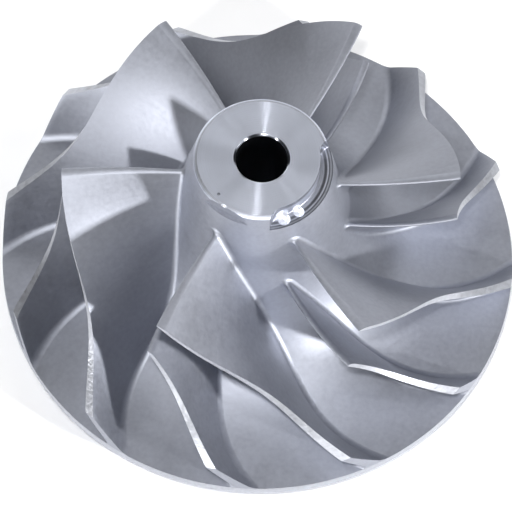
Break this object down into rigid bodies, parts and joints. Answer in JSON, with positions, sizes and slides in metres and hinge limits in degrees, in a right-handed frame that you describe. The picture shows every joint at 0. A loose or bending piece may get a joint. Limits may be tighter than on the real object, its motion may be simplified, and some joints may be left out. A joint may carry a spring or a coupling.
{
  "type": "compressor wheel",
  "caption": "Centrifugal compressor wheel of a turbocharger: a flared hub on a round back disc, with backswept full blades and shorter splitter blades that draw air in and throw it outward.",
  "frame": {"origin": "on the bore's axis, in the plane of the rear seat that the wheel stands on", "axes": "+Z along the bore's axis, from the back disc to the nose"},
  "size_m": [0.1, 0.1, 0.0474],
  "materials": {
    "turned_aluminium": "turned, satin, with fine concentric marks",
    "milled_aluminium": "smooth satin blade surfaces"
  },
  "bodies": {
    "root": {"hub": "turned_aluminium", "main_blade_1": "milled_aluminium", "main_blade_2": "milled_aluminium", "main_blade_3": "milled_aluminium", "main_blade_4": "milled_aluminium", "main_blade_5": "milled_aluminium", "main_blade_6": "milled_aluminium", "splitter_blade_1": "milled_aluminium", "splitter_blade_2": "milled_aluminium", "splitter_blade_3": "milled_aluminium", "splitter_blade_4": "milled_aluminium", "splitter_blade_5": "milled_aluminium", "splitter_blade_6": "milled_aluminium"}
  },
  "joints": []
}
